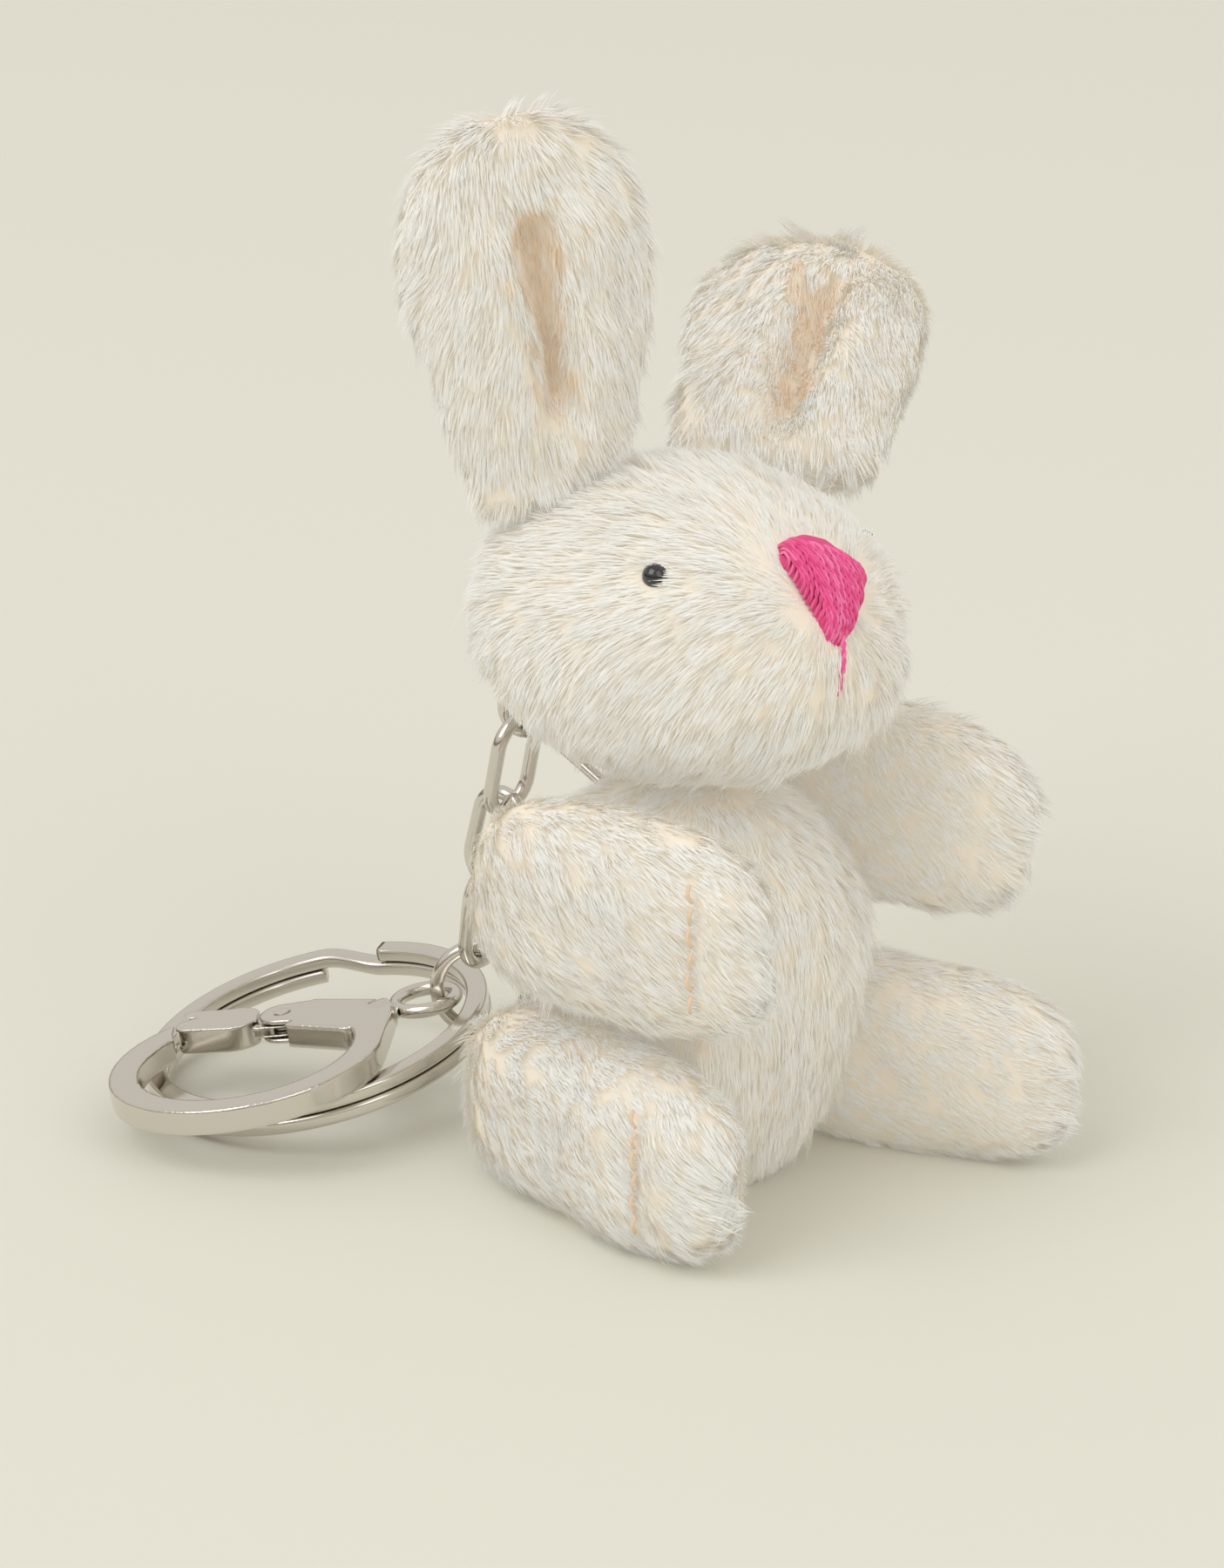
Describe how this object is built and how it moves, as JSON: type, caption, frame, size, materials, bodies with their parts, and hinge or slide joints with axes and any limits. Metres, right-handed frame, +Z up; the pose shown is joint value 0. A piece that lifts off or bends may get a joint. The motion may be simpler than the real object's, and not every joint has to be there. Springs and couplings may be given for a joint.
{
  "type": "plush keychain",
  "caption": "Seated long-eared plush toy charm with disc-jointed head and limbs, a short chain, a lobster clasp and a split ring.",
  "frame": {"origin": "centre of the flat seat under the torso", "axes": "+Z up, -Y the way the toy faces, +X its left side"},
  "size_m": [0.0749, 0.0793, 0.0933],
  "materials": {
    "cover": "cream short-pile plush",
    "filling": "polyester fibre",
    "joint_plastic": "moulded",
    "lock_steel": "stamped",
    "nickel": "polished nickel plate",
    "spring_steel": "drawn wire",
    "eye_black": "polished",
    "nose_thread": "satin-stitched thread",
    "seam_thread": "sewing thread"
  },
  "bodies": {
    "torso": {"torso_cover": "cover", "torso_stuffing": "filling", "joint_washers": "joint_plastic", "neck_eye_pin": "nickel", "eye_pin_washer": "lock_steel"},
    "head": {"head_cover": "cover", "head_stuffing": "filling", "right_eye": "eye_black", "left_eye": "eye_black", "nose_embroidery": "nose_thread", "mouth_stitches": "nose_thread", "neck_joint_disc": "joint_plastic", "neck_joint_lock": "lock_steel"},
    "right_ear": {"right_ear_cover": "cover", "right_ear_padding": "filling"},
    "left_ear": {"left_ear_cover": "cover", "left_ear_padding": "filling"},
    "right_arm": {"right_arm_cover": "cover", "right_arm_stuffing": "filling", "right_arm_joint_disc": "joint_plastic", "right_arm_joint_lock": "lock_steel", "right_arm_seam_stitches": "seam_thread"},
    "left_arm": {"left_arm_cover": "cover", "left_arm_stuffing": "filling", "left_arm_joint_disc": "joint_plastic", "left_arm_joint_lock": "lock_steel", "left_arm_seam_stitches": "seam_thread"},
    "right_leg": {"right_leg_cover": "cover", "right_leg_stuffing": "filling", "right_leg_joint_disc": "joint_plastic", "right_leg_joint_lock": "lock_steel", "right_leg_seam_stitches": "seam_thread"},
    "left_leg": {"left_leg_cover": "cover", "left_leg_stuffing": "filling", "left_leg_joint_disc": "joint_plastic", "left_leg_joint_lock": "lock_steel", "left_leg_seam_stitches": "seam_thread"},
    "chain_link_1": {"chain_link_1": "nickel"},
    "chain_link_2": {"chain_link_2": "nickel"},
    "chain_link_3": {"chain_link_3": "nickel"},
    "jump_ring": {"jump_ring": "nickel"},
    "clasp": {"clasp_body": "nickel", "lever_pin": "nickel", "lever_spring": "spring_steel"},
    "clasp_swivel_eye": {"clasp_swivel_eye": "nickel"},
    "clasp_lever": {"clasp_lever": "nickel"},
    "split_ring": {"split_ring": "nickel"}
  },
  "joints": [
    {"name": "neck_swivel", "type": "hinge", "parent": "torso", "child": "head", "pos_m": [0, 0.0005, 0.0362], "axis": [0, 0, 1], "range_deg": [-90, 90]},
    {"name": "right_ear_flex", "type": "hinge", "parent": "head", "child": "right_ear", "pos_m": [-0.00794, 0.00832, 0.06417], "axis": [0.7077, -0.5354, 0.461], "range_deg": [-15, 15], "stiffness_Nm_per_rad": 0.003},
    {"name": "left_ear_flex", "type": "hinge", "parent": "head", "child": "left_ear", "pos_m": [0.01723, 0.00404, 0.05957], "axis": [0.5485, -0.8352, -0.0398], "range_deg": [-15, 15], "stiffness_Nm_per_rad": 0.003},
    {"name": "right_shoulder", "type": "hinge", "parent": "torso", "child": "right_arm", "pos_m": [-0.0144, 0, 0.0286], "axis": [-1, 0, 0], "range_deg": [-12, 25]},
    {"name": "left_shoulder", "type": "hinge", "parent": "torso", "child": "left_arm", "pos_m": [0.0144, 0, 0.0286], "axis": [-1, 0, 0], "range_deg": [-12, 25]},
    {"name": "right_hip", "type": "hinge", "parent": "torso", "child": "right_leg", "pos_m": [-0.00774, 0.00451, 0.0086], "axis": [-0.9703, 0.2419, 0], "range_deg": [-80, 12]},
    {"name": "left_hip", "type": "hinge", "parent": "torso", "child": "left_leg", "pos_m": [0.00835, -0.0036, 0.0086], "axis": [-0.9848, -0.1736, 0], "range_deg": [-80, 12]},
    {"name": "chain_swing_1", "type": "hinge", "parent": "torso", "child": "chain_link_1", "pos_m": [-0.00001, 0.01855, 0.03701], "axis": [1, 0, 0], "range_deg": [0, 60]},
    {"name": "chain_swing_2", "type": "hinge", "parent": "chain_link_1", "child": "chain_link_2", "pos_m": [0.00009, 0.02022, 0.02945], "axis": [0, 1, 0], "range_deg": [-20, 20]},
    {"name": "chain_swing_3", "type": "hinge", "parent": "chain_link_2", "child": "chain_link_3", "pos_m": [0.00019, 0.02241, 0.02202], "axis": [1, 0, 0], "range_deg": [0, 45]},
    {"name": "jump_ring_swing", "type": "hinge", "parent": "chain_link_3", "child": "jump_ring", "pos_m": [0.0002, 0.0235, 0.01435], "axis": [-0.5501, 0.8351, 0], "range_deg": [-10, 40]},
    {"name": "split_ring_swing", "type": "hinge", "parent": "jump_ring", "child": "split_ring", "pos_m": [0.0002, 0.0235, 0.00625], "axis": [-0.5501, 0.8351, 0], "range_deg": [-45, 0]},
    {"name": "clasp_swing", "type": "hinge", "parent": "jump_ring", "child": "clasp", "pos_m": [-0.00193, 0.02673, 0.0091], "axis": [0.3717, 0.9242, -0.0878], "range_deg": [0, 25]},
    {"name": "clasp_swivel", "type": "hinge", "parent": "clasp", "child": "clasp_swivel_eye", "pos_m": [-0.00265, 0.02772, 0.0091], "axis": [-0.9224, 0.357, -0.1476], "range_deg": [-20, 20]},
    {"name": "lever_hinge", "type": "hinge", "parent": "clasp", "child": "clasp_lever", "pos_m": [-0.01073, 0.03758, 0.00688], "axis": [0.1051, -0.1358, -0.9851], "range_deg": [-38, 0], "stiffness_Nm_per_rad": 0.002}
  ]
}
